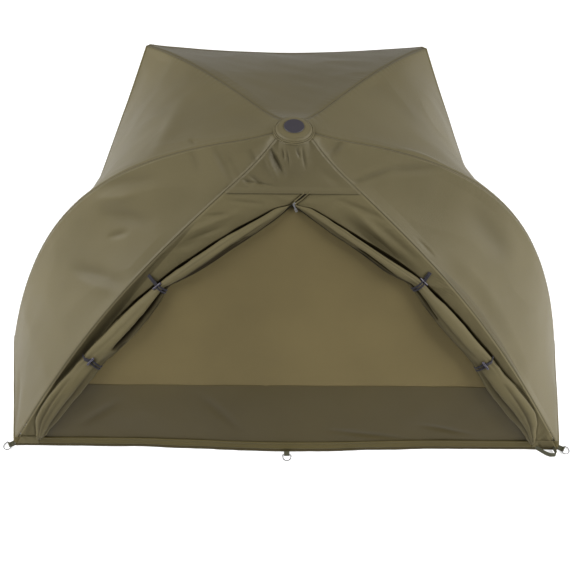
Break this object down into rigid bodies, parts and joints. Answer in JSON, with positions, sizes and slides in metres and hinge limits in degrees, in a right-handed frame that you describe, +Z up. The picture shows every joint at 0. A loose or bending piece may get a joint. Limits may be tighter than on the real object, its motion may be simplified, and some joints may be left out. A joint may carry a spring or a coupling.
{
  "type": "fishing umbrella",
  "caption": "Olive fishing umbrella standing open, with a capped hub, a rolled zip door over a mesh window, a mud flap and peg rings.",
  "frame": {"origin": "on the ground under the middle of the outline, in length and width", "axes": "+Z up; +Y out of the open front; -Y out of the rear door; +X to the right of someone behind the umbrella looking at the door"},
  "size_m": [2.704, 1.9078, 1.2655],
  "materials": {
    "canopy_cloth": "matte",
    "window_mesh": "matte",
    "mud_flap_cloth": "matte",
    "webbing": "matte",
    "dark_plastic": "satin",
    "foot_rubber": "matte",
    "bright_metal": "satin",
    "rib_rod_green": "satin"
  },
  "bodies": {
    "hub": {"crown_cap": "canopy_cloth", "hinge_pin_front_left": "bright_metal", "hinge_pin_front_right": "bright_metal", "hinge_pin_rear_left": "bright_metal", "hinge_pin_rear_right": "bright_metal", "hinge_pin_side_left": "bright_metal", "hinge_pin_side_right": "bright_metal", "hub_block": "dark_plastic", "hub_top_plate": "bright_metal", "lock_spring": "bright_metal"},
    "release": {"lock_plunger": "bright_metal", "release_button": "dark_plastic"},
    "rib_rear_left": {"rib_knuckle_rear_left": "dark_plastic", "rib_rod_rear_left": "rib_rod_green", "rib_foot_rear_left": "foot_rubber", "canopy_rear_left": "canopy_cloth", "mesh_window_left": "window_mesh", "mud_flap_left": "mud_flap_cloth", "door_flap_left": "canopy_cloth", "toggle_upper_left": "dark_plastic", "toggle_lower_left": "dark_plastic", "elastic_upper_left": "dark_plastic", "elastic_lower_left": "dark_plastic", "peg_tab_left": "webbing", "peg_tab_middle": "webbing", "zip_head": "webbing"},
    "rib_rear_right": {"rib_knuckle_rear_right": "dark_plastic", "rib_rod_rear_right": "rib_rod_green", "rib_foot_rear_right": "foot_rubber", "canopy_rear_right": "canopy_cloth", "mesh_window_right": "window_mesh", "mud_flap_right": "mud_flap_cloth", "door_flap_right": "canopy_cloth", "toggle_upper_right": "dark_plastic", "toggle_lower_right": "dark_plastic", "elastic_upper_right": "dark_plastic", "elastic_lower_right": "dark_plastic", "peg_tab_right": "webbing", "carry_loop": "webbing"},
    "rib_side_left": {"rib_knuckle_side_left": "dark_plastic", "rib_rod_side_left": "rib_rod_green", "rib_foot_side_left": "foot_rubber", "canopy_side_left": "canopy_cloth"},
    "rib_side_right": {"rib_knuckle_side_right": "dark_plastic", "rib_rod_side_right": "rib_rod_green", "rib_foot_side_right": "foot_rubber", "canopy_side_right": "canopy_cloth"},
    "rib_front_left": {"rib_knuckle_front_left": "dark_plastic", "rib_rod_front_left": "rib_rod_green", "rib_foot_front_left": "foot_rubber", "canopy_front_left": "canopy_cloth"},
    "rib_front_right": {"rib_knuckle_front_right": "dark_plastic", "rib_rod_front_right": "rib_rod_green", "rib_foot_front_right": "foot_rubber", "canopy_front_right": "canopy_cloth"},
    "ring_left": {"peg_ring_left": "bright_metal"},
    "ring_right": {"peg_ring_right": "bright_metal"},
    "ring_middle": {"peg_ring_middle": "bright_metal"},
    "slider": {"zip_slider": "bright_metal"},
    "puller": {"zip_puller": "bright_metal"}
  },
  "joints": [
    {"name": "fold_rear_left", "type": "hinge", "parent": "hub", "child": "rib_rear_left", "pos_m": [-0.0471, -0.14559, 1.203], "axis": [0.5165, -0.8563, 0], "range_deg": [0, 46], "deforming": ["canopy_rear_left", "mesh_window_left", "mud_flap_left", "door_flap_left", "elastic_upper_left", "elastic_lower_left", "peg_tab_left", "peg_tab_middle", "zip_head"]},
    {"name": "fold_rear_right", "type": "hinge", "parent": "hub", "child": "rib_rear_right", "pos_m": [0.0471, -0.14559, 1.203], "axis": [0.5165, 0.8563, 0], "range_deg": [0, 46], "deforming": ["canopy_rear_right", "mesh_window_right", "mud_flap_right", "door_flap_right", "elastic_upper_right", "elastic_lower_right", "peg_tab_right", "carry_loop"]},
    {"name": "fold_side_left", "type": "hinge", "parent": "hub", "child": "rib_side_left", "pos_m": [-0.05458, -0.12398, 1.203], "axis": [0.1236, -0.9923, 0], "range_deg": [0, 44], "deforming": ["canopy_side_left"]},
    {"name": "fold_side_right", "type": "hinge", "parent": "hub", "child": "rib_side_right", "pos_m": [0.05458, -0.12398, 1.203], "axis": [0.1236, 0.9923, 0], "range_deg": [0, 44], "deforming": ["canopy_side_right"]},
    {"name": "fold_front_left", "type": "hinge", "parent": "hub", "child": "rib_front_left", "pos_m": [-0.03044, -0.07137, 1.203], "axis": [-0.8329, -0.5534, 0], "range_deg": [0, 70], "deforming": ["canopy_front_left"]},
    {"name": "fold_front_right", "type": "hinge", "parent": "hub", "child": "rib_front_right", "pos_m": [0.03044, -0.07137, 1.203], "axis": [-0.8329, 0.5534, 0], "range_deg": [0, 70], "deforming": ["canopy_front_right"]},
    {"name": "release_slide", "type": "slide", "parent": "hub", "child": "release", "axis": [0, 0, 1], "range_m": [0, 0.01], "stiffness_N_per_m": 300, "springref_m": -0.02, "deforming": ["lock_spring"]},
    {"name": "zip_slide", "type": "slide", "parent": "rib_rear_left", "child": "slider", "axis": [0.7537, 0.4264, 0.5002], "range_m": [0, 0.045]},
    {"name": "puller_swing", "type": "hinge", "parent": "slider", "child": "puller", "pos_m": [0.00245, -0.32938, 1.02693], "axis": [-0.9135, -0.2639, -0.3095], "range_deg": [0, 120]},
    {"name": "ring_swing_left", "type": "hinge", "parent": "rib_rear_left", "child": "ring_left", "pos_m": [-1.27081, -0.88373, 0.0054], "axis": [-0.5165, 0.8563, 0], "range_deg": [0, 110]},
    {"name": "ring_swing_right", "type": "hinge", "parent": "rib_rear_right", "child": "ring_right", "pos_m": [1.27081, -0.88373, 0.0054], "axis": [-0.5165, -0.8563, 0], "range_deg": [0, 110]},
    {"name": "ring_swing_middle", "type": "hinge", "parent": "rib_rear_left", "child": "ring_middle", "pos_m": [0, -0.92398, 0.0054], "axis": [-1, 0, 0], "range_deg": [0, 110]}
  ],
  "couplings": [
    {"joint": "fold_rear_right", "follows": "fold_rear_left", "ratio": 1},
    {"joint": "fold_side_left", "follows": "fold_rear_left", "ratio": 0.95},
    {"joint": "fold_front_left", "follows": "fold_rear_left", "ratio": 1.52},
    {"joint": "fold_side_right", "follows": "fold_rear_left", "ratio": 0.95},
    {"joint": "fold_front_right", "follows": "fold_rear_left", "ratio": 1.52}
  ]
}
